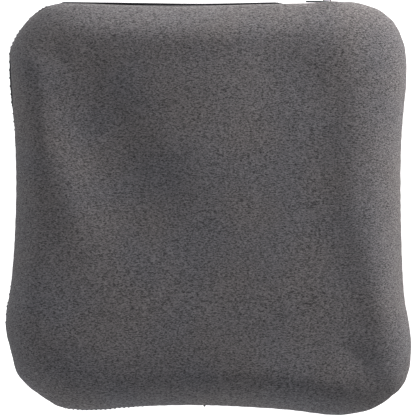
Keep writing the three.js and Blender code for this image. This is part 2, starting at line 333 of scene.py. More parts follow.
def subdivide(obj):
    modifier = obj.modifiers.new("Subdivision", "SUBSURF")
    modifier.levels = 1
    modifier.render_levels = 1
    apply_modifiers(obj)
    obj.data.polygons.foreach_set("use_smooth", [True] * len(obj.data.polygons))


def add_swells(co):
    """Raises and lowers the top where the foam has settled."""
    for (cx, cy), (half_long, half_wide), degrees, height in SWELLS:
        turn = math.radians(degrees)
        dx, dy = co[:, 0] - cx * MM, co[:, 1] - cy * MM
        along = (dx * math.cos(turn) + dy * math.sin(turn)) / (half_long * MM)
        across = (dy * math.cos(turn) - dx * math.sin(turn)) / (half_wide * MM)
        upper = smoothstep(SEAM_Z + 6 * MM, SEAM_Z + 26 * MM, co[:, 2])
        co[:, 2] += height * MM * np.exp(-along ** 2 - across ** 2) * upper
    return co


# ---- The cover's edge ---------------------------------------------------------------------

# Each REACH is the height over or under the seam in which the shape before it fades, and each AT
# is a middle and a half length along X
SEAM_TUCK = 1.3 * MM         # how far the closed seam is drawn in
SEAM_TUCK_REACH = 2.6 * MM
GATHER_DEPTH = 0.18 * MM     # small gathers beside the closed seam
GATHER_REACH = 9 * MM
GATHERS = 95                 # radians of their wave for each radian round the pad
GATHER_DRIFT = 17            # and of the slower wave that makes them uneven
SEAM_GAP = 0.25 * MM         # a hair of space between each panel and the seam's level
SEAM_GAP_REACH = 3 * MM
HEM_HALF_GAP = 5.6 * MM      # from the middle of the zip to each hem
HEM_CLEARANCE = 0.1 * MM     # behind the tapes, where the hems come nearest to them
HEM_BOW = 3.2 * MM           # how much further back the hems go towards the zip's ends
BASE_HEM_PROUD = 2.9 * MM    # how far the bottom panel's hem stands out behind the top panel's
BASE_HEM_MORE = 1.5 * MM     # and how much more left of the middle
HEM_SET_REACH = 20 * MM
HEM_OPEN_REACH = 15 * MM
BESIDE_SEAM = 7 * MM         # the cloth so near the seam opens along the zip only
SLIDER_BULGE = 2.2 * MM      # the suede over the slider
SLIDER_BULGE_AT = (122 * MM, 15 * MM)
SLIDER_BULGE_HEIGHT = (15 * MM, 9 * MM)
TAB_DENT = 2.6 * MM          # the hollow beside the zip's left end, for the open zip's pull tab
TAB_DENT_AT = (-151 * MM, 13 * MM)
BASE_SET_IN = 0.8            # in mm, all round the bottom panel
TOP_SHARE = 0.5              # the top panel goes in by this share of what stands proud under it
PROUD_REACH = 16 * MM

# Where the bottom panel shows past the top one: the edge, then height, middle along the edge and
# half length in mm
PROUD_SPOTS = (
    ("left", 2.0, 128, 40),
    ("left", 1.0, -100, 18),
    ("back", 1.8, -160, 20),
    ("front", 1.2, -110, 34),
)


def between(x, left, right):
    """Rises from 0 to 1 over the span called left, and falls back over the span called right."""
    return smoothstep(*left, x) * (1 - smoothstep(*right, x))


def hem_lift(x):
    """How far open the two hems stand along the zip: 1 beside the chain, 0 past its ends."""
    left = (CHAIN_LEFT - 7 * MM, CHAIN_LEFT - 1 * MM)
    right = (CHAIN_RIGHT + 1 * MM, CHAIN_RIGHT + 7 * MM)
    return between(x, left, right)


def wide_lift(x):
    """The same, easing in over a longer stretch, for the cloth further from the zip."""
    left = (CHAIN_LEFT - 34 * MM, CHAIN_LEFT + 14 * MM)
    right = (CHAIN_RIGHT - 12 * MM, CHAIN_RIGHT + 30 * MM)
    return between(x, left, right)


def hem_face(x, side):
    """How far back the hem stands at x: nearest the tape left of the middle, with the bottom
    panel's hem standing out behind the top panel's up to near the slider."""
    face = TAPE_FACE_Y + HEM_CLEARANCE + HEM_BOW * (1 - bump(x, -33 * MM, 80 * MM))
    if side > 0:
        return face
    proud = BASE_HEM_PROUD + BASE_HEM_MORE * bump(x, -50 * MM, 60 * MM)
    return face + proud * (1 - smoothstep(66 * MM, 84 * MM, x))


def proud_of_top(x, y):
    """How far the bottom panel shows past the top one at its spots, in mm, as x and y are."""
    edges = {"left": (y, x < -150), "back": (x, y > 170), "front": (x, y < -170)}
    total = np.zeros_like(x)
    for edge, height, middle, half in PROUD_SPOTS:
        along, there = edges[edge]
        total += height * bump(along, middle, half) * there
    return total


def sideways_change(co, side, height, closed):
    """How far each point goes outwards from the pad's middle: the tuck and gathers where the seam
    is closed (1) and not along the open zip (0), and the parts that stand proud."""
    angle = np.arctan2(co[:, 1], co[:, 0])
    tuck = SEAM_TUCK * bump(height, 0, SEAM_TUCK_REACH) * closed
    gathers = GATHER_DEPTH * np.sin(angle * GATHERS + 2 * np.sin(angle * GATHER_DRIFT))
    gathers *= bump(height, 0, GATHER_REACH) * closed
    proud = proud_of_top(co[:, 0] / MM, co[:, 1] / MM)
    offset = (proud - BASE_SET_IN if side < 0 else -TOP_SHARE * proud) * MM
    return gathers - tuck + offset * bump(height, 0, PROUD_REACH)


def shape_edge(co, side):
    """Tucks the cover in at its seam, and opens and sets back the hems along the zip. side is 1 on
    the top panel and -1 on the bottom one."""
    height = np.abs(co[:, 2] - SEAM_Z)
    beside_seam = bump(height, 0, BESIDE_SEAM)
    lift = hem_lift(co[:, 0]) * beside_seam + wide_lift(co[:, 0]) * (1 - beside_seam)
    back = (co[:, 1] > BACK_Y) * lift
    dent = TAB_DENT * bump(co[:, 0], *TAB_DENT_AT) * beside_seam * (co[:, 1] > BACK_Y)
    bulge = SLIDER_BULGE * bump(co[:, 0], *SLIDER_BULGE_AT) * bump(height, *SLIDER_BULGE_HEIGHT)
    reach = np.hypot(co[:, 0], co[:, 1])
    change = sideways_change(co, side, height, 1 - back)
    co[:, :2] *= ((reach + change) / reach)[:, None]
    co[:, 1] -= dent * (1 - back)
    behind = co[:, 1] > BACK_Y
    fall = bump(height, 0, HEM_SET_REACH) * back
    co[:, 1] += behind * (hem_face(co[:, 0], side) - co[:, 1]) * fall
    if side > 0:
        co[:, 1] += bulge * behind
    co[:, 2] += side * HEM_HALF_GAP * back * bump(height, 0, HEM_OPEN_REACH)
    co[:, 2] += side * SEAM_GAP * bump(height, 0, SEAM_GAP_REACH)
    return co


# ---- The cover's panels and what they hold ------------------------------------------------

def inner_form(name, inset):
    """A closed form inside the cover: inset from it along its normals, and more beside the seam."""
    obj = bpy.data.objects.new(name, cover.data.copy())
    bpy.context.scene.collection.objects.link(obj)
    co = add_swells(positions(obj))
    set_positions(obj, co)
    height = co[:, 2:3] - SEAM_Z
    depth = inset + SEAM_HOLLOW * bump(height, 0, SEAM_HOLLOW_REACH)
    co = co - vertex_normals(obj) * depth
    co[:, 2] = np.maximum(co[:, 2], DOT_HEIGHT + inset)
    set_positions(obj, co)
    return obj


def cut_level(obj, z, keep_above):
    """Cuts a closed form level at a height and closes the cut."""
    mesh = bmesh.new()
    mesh.from_mesh(obj.data)
    cut = bmesh.ops.bisect_plane(
        mesh, geom=mesh.verts[:] + mesh.edges[:] + mesh.faces[:], plane_co=(0, 0, z),
        plane_no=(0, 0, 1), clear_inner=keep_above, clear_outer=not keep_above,
    )
    rim = [e for e in cut["geom_cut"] if isinstance(e, bmesh.types.BMEdge)]
    bmesh.ops.holes_fill(mesh, edges=rim, sides=0)
    bmesh.ops.recalc_face_normals(mesh, faces=mesh.faces)
    mesh.to_mesh(obj.data)
    mesh.free()
    return obj


def panel(name, index, side):
    """One panel of the inflated cover, subdivided and shaped, still without thickness. side is 1
    for the top panel and -1 for the bottom one."""
    used, local = np.unique(index.ravel(), return_inverse=True)
    faces = grid_faces(local.reshape(index.shape), side < 0)
    obj = new_object(name, inflated[used], faces)
    subdivide(obj)
    co = positions(obj)
    if side > 0:
        co = add_swells(co)
    else:
        co[:, 2] = np.maximum(co[:, 2], 0)
        co[:, 2] = DOT_HEIGHT + co[:, 2] * (1 - DOT_HEIGHT / SEAM_Z)
    co = shape_edge(co, side)
    set_positions(obj, co)
    return obj


MOUTH_HALF_HEIGHT = 7 * MM


def liner_sleeve():
    """The liner, open at the back, where the foam goes in."""
    obj = inner_form("liner_sleeve", LINER_INSET)
    mesh = bmesh.new()
    mesh.from_mesh(obj.data)
    mouth = []
    for face in mesh.faces:
        middle = face.calc_center_median()
        at_seam = middle.y > BACK_Y and abs(middle.z - SEAM_Z) < MOUTH_HALF_HEIGHT
        if at_seam and CHAIN_LEFT < middle.x < CHAIN_RIGHT:
            mouth.append(face)
    bmesh.ops.delete(mesh, geom=mouth, context="FACES")
    mesh.to_mesh(obj.data)
    mesh.free()
    subdivide(obj)
    thicken(obj, LINER_THICKNESS)
    return obj


def foam_layer(name, node):
    """One layer of the foam core, level with its CAD node where the layers meet."""
    low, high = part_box(node)
    obj = inner_form(name, FOAM_INSET)
    subdivide(obj)
    upper = node == "foam_comfort_layer"
    cut_level(obj, low.z if upper else high.z, upper)
    return obj


def thicken(obj, thickness):
    modifier = obj.modifiers.new("Solidify", "SOLIDIFY")
    modifier.thickness = thickness
    modifier.offset = -1
    modifier.use_even_offset = True
    apply_modifiers(obj)
    obj.data.polygons.foreach_set("use_smooth", [True] * len(obj.data.polygons))


cover, index_top, index_bottom, border = stuffed_cover()
inflate(cover, hold_still(cover, index_top, border))
inflated = positions(cover)
top_panel = panel("suede_top", index_top, 1)
bottom_panel = panel("grip_base", index_bottom, -1)
liner = liner_sleeve()
comfort_foam = foam_layer("comfort_foam", "foam_comfort_layer")
base_foam = foam_layer("base_foam", "foam_base_layer")
bpy.data.objects.remove(cover)


# ---- Grip dots ----------------------------------------------------------------------------

DOT_PITCH = 4.8 * MM
DOT_RADIUS = 1.35 * MM
DOT_SIDES = 8
DOTTED_HALF = 300 * MM       # half the square that the rows are laid out on
DOTTED_SHARE = 0.93          # of the way round the bottom roll
ZIP_MARGIN = 14 * MM         # no dots this near to the chain, sideways
ZIP_MARGIN_BELOW = 15 * MM
UPTURNED = 0.2               # no dots on cloth whose normal points up by more than this
# A dot's rings from its foot upwards: share of its radius, and height over the cloth
DOT_RINGS = (
    (1.0, -0.3 * MM),
    (1.0, 0.18 * DOT_HEIGHT),
    (0.78, 0.66 * DOT_HEIGHT),
    (0.4, 0.94 * DOT_HEIGHT),
)


def dot_guesses():
    """Roughly where the dots sit: staggered rows on the flat underside, carried on up the bottom
    roll to just short of the seam."""
    arc = math.pi / 2 * math.sqrt((BOTTOM_ROLL ** 2 + SEAM_Z ** 2) / 2)
    rows = int(DOTTED_HALF / (DOT_PITCH * math.sqrt(3) / 2))
    columns = int(DOTTED_HALF / DOT_PITCH)
    for row in range(-rows, rows + 1):
        for column in range(-columns, columns + 1):
            x = (column + 0.5 * (row % 2)) * DOT_PITCH
            y = row * DOT_PITCH * math.sqrt(3) / 2
            angle = math.atan2(y, x)
            flat = float(SIDES.at(angle)) - BOTTOM_ROLL
            past = math.hypot(x, y) - flat
            if past <= 0:
                yield Vector((x, y, DOT_HEIGHT))
            elif past <= arc * DOTTED_SHARE:
                turn = past / arc * math.pi / 2
                out = flat + BOTTOM_ROLL * math.sin(turn)
                z = SEAM_Z * (1 - math.cos(turn))
                yield Vector((out * math.cos(angle), out * math.sin(angle), z))


def dot_fits(place, normal):
    """False beside the zip, and on the cloth that has turned upwards at the seam."""
    along_zip = CHAIN_LEFT - ZIP_MARGIN < place.x < CHAIN_RIGHT + ZIP_MARGIN
    beside_zip = along_zip and place.y > BACK_Y and place.z > SEAM_Z - ZIP_MARGIN_BELOW
    return not beside_zip and normal.z <= UPTURNED


def dome(place, normal):
    """Points and faces of one dot."""
    side = normal.orthogonal().normalized()
    other = normal.cross(side)
    points, faces = [], []
    for share, height in DOT_RINGS:
        for k in range(DOT_SIDES):
            turn = k * 2 * math.pi / DOT_SIDES
            round_it = side * math.cos(turn) + other * math.sin(turn)
            points.append(place + normal * height + round_it * DOT_RADIUS * share)
    crest = len(points)
    points.append(place + normal * DOT_HEIGHT)
    last = (len(DOT_RINGS) - 1) * DOT_SIDES
    for k in range(DOT_SIDES):
        n = (k + 1) % DOT_SIDES
        for low in range(0, last, DOT_SIDES):
            high = low + DOT_SIDES
            faces.append((low + k, low + n, high + n, high + k))
        faces.append((last + k, last + n, crest))
    faces.append(tuple(reversed(range(DOT_SIDES))))
    return points, faces


def gather(parts):
    """Joins several (points, faces) into one."""
    points, faces = [], []
    for some_points, some_faces in parts:
        first = len(points)
        points.extend(some_points)
        faces.extend(tuple(i + first for i in face) for face in some_faces)
    return points, faces


def grip_dots(surface):
    """Domed rubber dots all over the bottom panel, and none of them below the ground."""
    tree = BVHTree.FromObject(surface, bpy.context.evaluated_depsgraph_get())
    domes = []
    for guess in dot_guesses():
        place, normal, _, _ = tree.find_nearest(guess)
        if dot_fits(place, normal):
            domes.append(dome(place, normal))
    points, faces = gather(domes)
    return new_object("grip_dots", [(p.x, p.y, max(p.z, 0.0)) for p in points], faces)


dots = grip_dots(bottom_panel)
thicken(top_panel, CLOTH_THICKNESS)
thicken(bottom_panel, CLOTH_THICKNESS)


# ---- Materials ----------------------------------------------------------------------------

class Look:
    """A material's node tree, built a node at a time."""

    def __init__(self, name, roughness, metallic=0.0):
        self.material = bpy.data.materials.new(name)
        self.material.use_nodes = True
        self.tree = self.material.node_tree
        self.shader = self.tree.nodes["Principled BSDF"]
        self.shader.inputs["Roughness"].default_value = roughness
        self.shader.inputs["Metallic"].default_value = metallic
        self.place = self.node("ShaderNodeTexCoord").outputs["Object"]

    def node(self, kind, inputs=None, **settings):
        made = self.tree.nodes.new(kind)
        for name, value in settings.items():
            setattr(made, name, value)
        for name, value in (inputs or {}).items():
            if isinstance(value, bpy.types.NodeSocket):
                self.tree.links.new(value, made.inputs[name])
            else:
                made.inputs[name].default_value = value
        return made

    def link(self, output, input_name):
        self.tree.links.new(output, self.shader.inputs[input_name])

    def noise(self, scale, detail=2.0, roughness=0.5, distortion=0.0, place=None):
        made = self.node("ShaderNodeTexNoise", {
            "Vector": place or self.place, "Scale": scale, "Detail": detail,
            "Roughness": roughness, "Distortion": distortion,
        })
        return made.outputs["Fac"]

    def spread(self, value, low, high, out_low=0.0, out_high=1.0):
        """Stretches the range from low to high over the one from out_low to out_high."""
        made = self.node("ShaderNodeMapRange", {
            "Value": value, "From Min": low, "From Max": high,
            "To Min": out_low, "To Max": out_high,
        })
        return made.outputs["Result"]

    def math(self, operation, first, second=0.0):
        made = self.node("ShaderNodeMath", {0: first, 1: second}, operation=operation)
        return made.outputs[0]

    def mix(self, factor, first, second, blend="MIX"):
        made = self.node("ShaderNodeMix", data_type="RGBA", blend_type=blend)
        for number, value in ((0, factor), (6, first), (7, second)):
            socket = made.inputs[number]
            if isinstance(value, bpy.types.NodeSocket):
                self.tree.links.new(value, socket)
            elif socket.type == "RGBA":
                socket.default_value = (*value, 1.0)
            else:
                socket.default_value = value
        return made.outputs[2]

    def bump(self, height, distance, strength=1.0, under=None):
        inputs = {"Height": height, "Distance": distance, "Strength": strength}
        if under is not None:
            inputs["Normal"] = under
        return self.node("ShaderNodeBump", inputs).outputs["Normal"]

    def sheen(self, weight, roughness, tint):
        self.shader.inputs["Sheen Weight"].default_value = weight
        self.shader.inputs["Sheen Roughness"].default_value = roughness
        self.shader.inputs["Sheen Tint"].default_value = (*tint, 1.0)


def suede():
    """Brushed microfibre: a fine nap combed from side to side, in faint warm and cool patches. Its
    grain is
    partly painted light: painted shade in the pits and painted highlight on the crests, over the
    nap's own paler fibre ends."""
    look = Look("suede_grey", 0.92)
    look.shader.inputs["Specular IOR Level"].default_value = 0.15
    look.sheen(0.12, 0.4, (1.0, 0.95, 0.92))
    combed = look.node("ShaderNodeMapping", {"Vector": look.place, "Scale": (0.75, 1.7, 1)})
    lie = combed.outputs["Vector"]
    pebbles = look.noise(560, detail=3.0, roughness=0.6, distortion=0.5, place=lie)
    squiggles = look.noise(760, detail=2.0, roughness=0.6, distortion=1.0, place=lie)
    fibres = look.noise(3400, detail=2.0, roughness=0.7)
    patches = look.noise(8, detail=1.0)
    hues = look.noise(17, detail=1.0)
    coarse = look.math("MULTIPLY", pebbles, 0.55)
    fine = look.math("MULTIPLY", squiggles, 0.45)
    grain = look.spread(look.math("ADD", coarse, fine), 0.4, 0.6)
    cool, warm, pale = (0.086, 0.085, 0.0925), (0.092, 0.0865, 0.0885), (0.101, 0.096, 0.099)
    # Grain colour multipliers, partly painted light: the darker one paints shade into the grain's
    # pits and the paler one paints highlight onto its crests, over the nap's own darker bases and
    # paler ends
    pit_shade_and_roots, crest_highlight_and_tips = (0.3, 0.3, 0.31), (1.72, 1.71, 1.7)
    ground = look.mix(look.spread(hues, 0.35, 0.65), cool, warm)
    ground = look.mix(look.spread(patches, 0.3, 0.7, 0.0, 0.3), ground, pale)
    # Painted shade for the grain's pits and painted highlight for its crests
    dark = look.mix(1.0, ground, pit_shade_and_roots, "MULTIPLY")
    light = look.mix(1.0, ground, crest_highlight_and_tips, "MULTIPLY")
    look.link(look.mix(grain, dark, light), "Base Color")
    look.link(look.spread(grain, 0, 1, 0.96, 0.86), "Roughness")
    relief = look.bump(grain, 0.62 * MM, 1.0)
    look.link(look.bump(fibres, 0.12 * MM, 0.5, under=relief), "Normal")
    return look.material


def weave(look, pitch, along, across):
    """Threads over and under each other: a height from two crossed waves."""
    waves = []
    for direction in (along, across):
        inputs = {0: look.place, 1: direction}
        dot = look.node("ShaderNodeVectorMath", inputs, operation="DOT_PRODUCT")
        turns = look.math("MULTIPLY", dot.outputs["Value"], 2 * math.pi / pitch)
        waves.append(look.math("SINE", turns))
    return look.spread(look.math("MULTIPLY", *waves), -1, 1)


def grip_cloth():
    """The black base cloth: a plain weave with a little dust-grey variation in it."""
    look = Look("grip_cloth_black", 0.85)
    look.shader.inputs["Specular IOR Level"].default_value = 0.3
    look.sheen(0.12, 0.5, (0.6, 0.6, 0.7))
    threads = weave(look, 1.1 * MM, (1, 0, 0.4), (0, 1, 0.4))
    dust = look.spread(look.noise(14, detail=4.0, roughness=0.6), 0.35, 0.7)
    clean, dusty, crests = (0.0075, 0.0075, 0.0105), (0.017, 0.017, 0.021), (0.028, 0.028, 0.034)
    ground = look.mix(dust, clean, dusty)
    look.link(look.mix(look.spread(threads, 0, 1, 0, 0.6), ground, crests), "Base Color")
    look.link(look.spread(threads, 0, 1, 0.92, 0.75), "Roughness")
    fuzz = look.noise(2200, detail=2.0, roughness=0.7)
    relief = look.bump(threads, 0.18 * MM, 0.7)
    look.link(look.bump(fuzz, 0.05 * MM, 0.5, under=relief), "Normal")
    return look.material


def rubber_dots():
    """Soft rubber: dark, slightly shiny, duller where it has rubbed."""
    look = Look("grip_dots_black", 0.5)
    scuffs = look.noise(90, detail=4.0, roughness=0.65)
    new, rubbed = (0.006, 0.006, 0.009), (0.02, 0.02, 0.023)
    look.link(look.mix(look.spread(scuffs, 0.4, 0.75), new, rubbed), "Base Color")
    look.link(look.spread(scuffs, 0.3, 0.7, 0.38, 0.68), "Roughness")
    look.link(look.bump(look.noise(1500), 0.04 * MM, 0.5), "Normal")
    return look.material


def tape_cloth():
    """Zip tape: a tight twill, whose ribs run slantwise."""
    look = Look("zip_tape_black", 0.8)
    look.sheen(0.1, 0.5, (0.6, 0.6, 0.8))
    ribs = weave(look, 0.75 * MM, (1, 0, 1), (1, 0, -1))
    look.link(look.mix(ribs, (0.006, 0.006, 0.011), (0.02, 0.02, 0.032)), "Base Color")
    look.link(look.spread(look.noise(300, detail=3.0), 0.3, 0.7, 0.72, 0.9), "Roughness")
    look.link(look.bump(ribs, 0.12 * MM, 0.8), "Normal")
    return look.material


def nylon():
    """The coil's monofilament, with a soft shine."""
    look = Look("zip_coil_black", 0.35)
    cloud = look.noise(120, detail=3.0, roughness=0.6)
    look.link(look.mix(cloud, (0.008, 0.008, 0.013), (0.02, 0.02, 0.03)), "Base Color")
    look.link(look.spread(cloud, 0.3, 0.7, 0.28, 0.45), "Roughness")
    look.link(look.bump(look.noise(2500, detail=1.0), 0.02 * MM, 0.4), "Normal")
    return look.material


def zip_metal():
    """Blackened metal with fine scratches, paler where it rubs."""
    look = Look("zip_metal_black", 0.38, 0.85)
    scratches = look.noise(900, detail=3.0, roughness=0.7, distortion=0.3)
    rubbed = look.noise(160, detail=4.0, roughness=0.65)
    black, worn, bare = (0.022, 0.022, 0.034), (0.085, 0.085, 0.1), (0.16, 0.16, 0.18)
    base = look.mix(look.spread(rubbed, 0.45, 0.75), black, worn)
    look.link(look.mix(look.spread(scratches, 0.6, 0.72, 0, 0.5), base, bare), "Base Color")
    look.link(look.spread(rubbed, 0.3, 0.7, 0.28, 0.5), "Roughness")
    look.link(look.bump(scratches, 0.03 * MM, 0.5), "Normal")
    return look.material


def thread(name, color):
    """Twisted sewing thread."""
    look = Look(name, 0.7)
    strands = look.noise(1800, detail=2.0, roughness=0.6, distortion=1.0)
    pale = tuple(1.7 * c for c in color)
    look.link(look.mix(strands, color, pale), "Base Color")
    look.link(look.bump(strands, 0.06 * MM, 0.8), "Normal")
    return look.material


def liner_cloth():
    """Thin white knit."""
    look = Look("liner_white", 0.9)
    look.sheen(0.15, 0.5, (1, 1, 1))
    knit = weave(look, 1.6 * MM, (1, 0.3, 0), (-0.3, 1, 0.5))
    look.link(look.mix(knit, (0.62, 0.61, 0.58), (0.74, 0.73, 0.7)), "Base Color")
    look.link(look.bump(knit, 0.2 * MM, 0.7), "Normal")
    return look.material


def foam(name, low, high, cell):
    """Open foam: fine pores, a cell apart, in a mottled ground."""
    look = Look(name, 0.95)
    look.shader.inputs["Specular IOR Level"].default_value = 0.15
    pores = look.node("ShaderNodeTexVoronoi", {"Vector": look.place, "Scale": 1 / cell})
    depth = look.spread(pores.outputs["Distance"], 0.1, 0.6)
    shade = look.mix(look.noise(20, detail=4.0, roughness=0.6), low, high)
    walls = tuple(1.12 * c for c in high)
    look.link(look.mix(depth, shade, walls), "Base Color")
    look.link(look.bump(depth, 0.4 * MM, 0.6), "Normal")
    return look.material


def give_material(obj, material):
    obj.data.materials.clear()
    obj.data.materials.append(material)
    return obj


# ---- Zip ----------------------------------------------------------------------------------

def along_x(name, xs, section):
    """A closed bar lofted along X. section(x) gives the (y, z) points round it."""
    rings = [section(x) for x in xs]
    count = len(rings[0])
    points = [(x, y, z) for x, ring in zip(xs, rings) for y, z in ring]
    faces = []
    for i in range(len(xs) - 1):
        for k in range(count):
            n = (k + 1) % count
            faces.append((i * count + k, i * count + n, (i + 1) * count + n, (i + 1) * count + k))
    faces.append(tuple(reversed(range(count))))
    faces.append(tuple((len(xs) - 1) * count + k for k in range(count)))
    obj = new_object(name, points, faces)
    face_outwards(obj)
    return obj


def face_outwards(obj):
    mesh = bmesh.new()
    mesh.from_mesh(obj.data)
    bmesh.ops.recalc_face_normals(mesh, faces=mesh.faces)
    mesh.to_mesh(obj.data)
    mesh.free()


TAPE_INNER = 0.9 * MM        # from the middle of the zip to the tape's edge
TAPE_BEND = 5.6 * MM         # and to where it starts to fall away
TAPE_THICKNESS = 0.6 * MM
TAPE_RIPPLE = 0.05 * MM
TAPE_RIPPLE_LENGTH = 2.1 * MM


def sew_tape(name, side):
    """One woven tape in the place of its CAD node, flat beside the chain and falling away inside
    the cover past the hem."""
    low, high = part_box("zipper_tape_upper" if side > 0 else "zipper_tape_lower")
    reach = max(abs(low.z - SEAM_Z), abs(high.z - SEAM_Z))
    fall = high.y - low.y - 0.7 * MM
    steps = 14

    def section(x):
        face, back = [], []
        for k in range(steps + 1):
            share = k / steps
            z = TAPE_INNER + (reach - TAPE_INNER) * share
            past = max(0.0, (z - TAPE_BEND) / (reach - TAPE_BEND))
            y = TAPE_FACE_Y - fall * past ** 2
            ripple = TAPE_RIPPLE * math.sin(x / TAPE_RIPPLE_LENGTH + 3 * share)
            face.append((y - 0.06 * MM + ripple, SEAM_Z + side * z))
            back.insert(0, (y - TAPE_THICKNESS + ripple, SEAM_Z + side * z))
        return face + back

    return along_x(name, np.linspace(low.x, high.x, 240), section)


def tube(path, radius, sides):
    """Points and faces of a closed tube along a path, an array of points."""
    path = np.asarray(path)
    ahead = np.gradient(path, axis=0)
    ahead /= np.linalg.norm(ahead, axis=1, keepdims=True)
    helper = np.array([1.0, 0.0, 0.0])
    side = np.cross(ahead, helper)
    weak = np.linalg.norm(side, axis=1) < 1e-3
    side[weak] = np.cross(ahead[weak], np.array([0.0, 0.0, 1.0]))
    side /= np.linalg.norm(side, axis=1, keepdims=True)
    up = np.cross(side, ahead)
    turns = np.arange(sides) * 2 * math.pi / sides
    rings = (path[:, None, :] + radius * (np.cos(turns)[None, :, None] * side[:, None, :]
                                          + np.sin(turns)[None, :, None] * up[:, None, :]))
    points = rings.reshape(-1, 3)
    faces = []
    for i in range(len(path) - 1):
        for k in range(sides):
            n = (k + 1) % sides
            faces.append((i * sides + k, i * sides + n, (i + 1) * sides + n, (i + 1) * sides + k))
    faces.append(tuple(reversed(range(sides))))
    faces.append(tuple((len(path) - 1) * sides + k for k in range(sides)))
    return points, faces


COIL_PITCH = 1.45 * MM
COIL_WIRE = 0.34 * MM        # half the thickness of the wire
COIL_OVERLAP = 0.25 * MM     # how far each closed row reaches past the middle of the zip
CORD = 0.42 * MM             # half the thickness of the filler cord


def coil_row(name, side):
    """One row of the coil: a flattened helix round its filler cord."""
    low, high = (COIL_BOX if side > 0 else COIL_LOW_BOX)
    middle_y = (low.y + high.y) / 2
    half_y = (high.y - low.y) / 2 - COIL_WIRE
    outer = max(abs(low.z - SEAM_Z), abs(high.z - SEAM_Z))
    inner = -COIL_OVERLAP
    middle_z = (outer + inner) / 2
    half_z = (outer - inner) / 2 - COIL_WIRE
    turns = int((CHAIN_RIGHT - CHAIN_LEFT - 2 * COIL_WIRE) / COIL_PITCH) - 1
    steps = 14
    t = np.arange(turns * steps + 1) / steps
    phase = 0 if side > 0 else math.pi
    x = CHAIN_LEFT + COIL_WIRE + COIL_PITCH * (t + 0.5)
    turn = 2 * math.pi * t + phase
    y = middle_y + half_y * np.sin(turn)
    z = SEAM_Z + side * (middle_z + half_z * np.cos(turn))
    helix = tube(np.stack([x, y, z], 1), COIL_WIRE, 6)
    core_x = np.linspace(CHAIN_LEFT + 0.2 * MM, CHAIN_RIGHT - 0.2 * MM, 40)
    core_y = np.full_like(core_x, middle_y)
    core_z = np.full_like(core_x, SEAM_Z + side * middle_z)
    core = np.stack([core_x, core_y, core_z], 1)
    obj = new_object(name, *gather([helix, tube(core, CORD, 8)]))
    face_outwards(obj)
    return obj


STITCH_PITCH = 3.3 * MM
STITCH_LENGTH = 2.6 * MM
STITCH_RADIUS = 0.3 * MM
STITCH_LIFT = 0.12 * MM      # the middle of a stitch's thread over the cloth
STITCH_INSET = 3.4 * MM      # from the hem's edge to its stitches


def stitch_row(surface, start, step, count):
    """Stitches lying on a surface: short arcs that dip into it at both ends."""
    tree = BVHTree.FromObject(surface, bpy.context.evaluated_depsgraph_get())
    direction = step.normalized()
    parts = []
    for i in range(count):
        path = []
        for share in np.linspace(-0.5, 0.5, 7):
            guess = start + step * i + direction * (share * STITCH_LENGTH)
            place, normal, _, _ = tree.find_nearest(guess)
            dip = (2 * share) ** 4 * 3.2 * STITCH_RADIUS
            path.append(tuple(place + normal * (STITCH_LIFT - dip)))
        parts.append(tube(path, STITCH_RADIUS, 6))
    return gather(parts)


def hem_stitching(name, surface, side):
    """A straight line of topstitching beside the zip."""
    count = int((CHAIN_RIGHT - CHAIN_LEFT + 2 * MM) / STITCH_PITCH)
    level = SEAM_Z + side * (HEM_HALF_GAP + STITCH_INSET)
    start = Vector((CHAIN_LEFT + 2 * MM, hem_face(0, side), level))
    step = Vector((STITCH_PITCH, 0, 0))
    obj = new_object(name, *stitch_row(surface, start, step, count))
    face_outwards(obj)
    return obj


KNOT_NEAR = Vector((-3.5 * MM, -205 * MM, SEAM_Z - 3 * MM))
KNOT_THREAD = 0.36 * MM      # half the thickness of the thread


def seam_knot(surface):
    """The knot that ends the seam, near the middle of the front: a few tight turns of thread."""
    tree = BVHTree.FromObject(surface, bpy.context.evaluated_depsgraph_get())
    place, normal, _, _ = tree.find_nearest(KNOT_NEAR)
    middle = place + normal * 0.9 * MM
    turn = np.linspace(0, 7 * math.pi, 64)
    wide = (0.95 + 0.35 * np.cos(turn * 0.36)) * MM
    x = middle.x + wide * np.cos(turn)
    y = middle.y + 1.25 * MM * np.sin(turn * 0.43)
    z = middle.z + wide * np.sin(turn)
    obj = new_object("seam_knot", *tube(np.stack([x, y, z], 1), KNOT_THREAD, 6))
    face_outwards(obj)
    return obj


STOP_BEVEL = 0.25 * MM
SLIDER_BEVEL = 0.22 * MM


def bevelled(name, node, width):
    """A finely bevelled copy of a small CAD node."""
    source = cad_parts[node]
    obj = bpy.data.objects.new(name, source.data.copy())
    bpy.context.scene.collection.objects.link(obj)
    mesh = bmesh.new()
    mesh.from_mesh(obj.data)
    bmesh.ops.remove_doubles(mesh, verts=mesh.verts, dist=1e-6)
    bmesh.ops.dissolve_limit(mesh, angle_limit=math.radians(1), verts=mesh.verts, edges=mesh.edges)
    mesh.to_mesh(obj.data)
    mesh.free()
    modifier = obj.modifiers.new("Bevel", "BEVEL")
    modifier.width = width
    modifier.segments = 3
    modifier.limit_method = "ANGLE"
    modifier.angle_limit = math.radians(35)
    modifier.harden_normals = True
    apply_modifiers(obj)
    obj.data.polygons.foreach_set("use_smooth", [True] * len(obj.data.polygons))
    return obj


# ---- Assembly -----------------------------------------------------------------------------

looks = {
    "suede_grey": suede(),
    "grip_cloth_black": grip_cloth(),
    "grip_dots_black": rubber_dots(),
    "zip_tape_black": tape_cloth(),
    "zip_coil_black": nylon(),
    "zip_metal_black": zip_metal(),
    "thread_black": thread("thread_black", (0.012, 0.012, 0.016)),
    "liner_white": liner_cloth(),
    "comfort_foam": foam("comfort_foam", (0.72, 0.63, 0.34), (0.79, 0.71, 0.43), 1.3 * MM),
    "base_foam": foam("base_foam", (0.22, 0.25, 0.29), (0.29, 0.32, 0.35), 2.2 * MM),
}


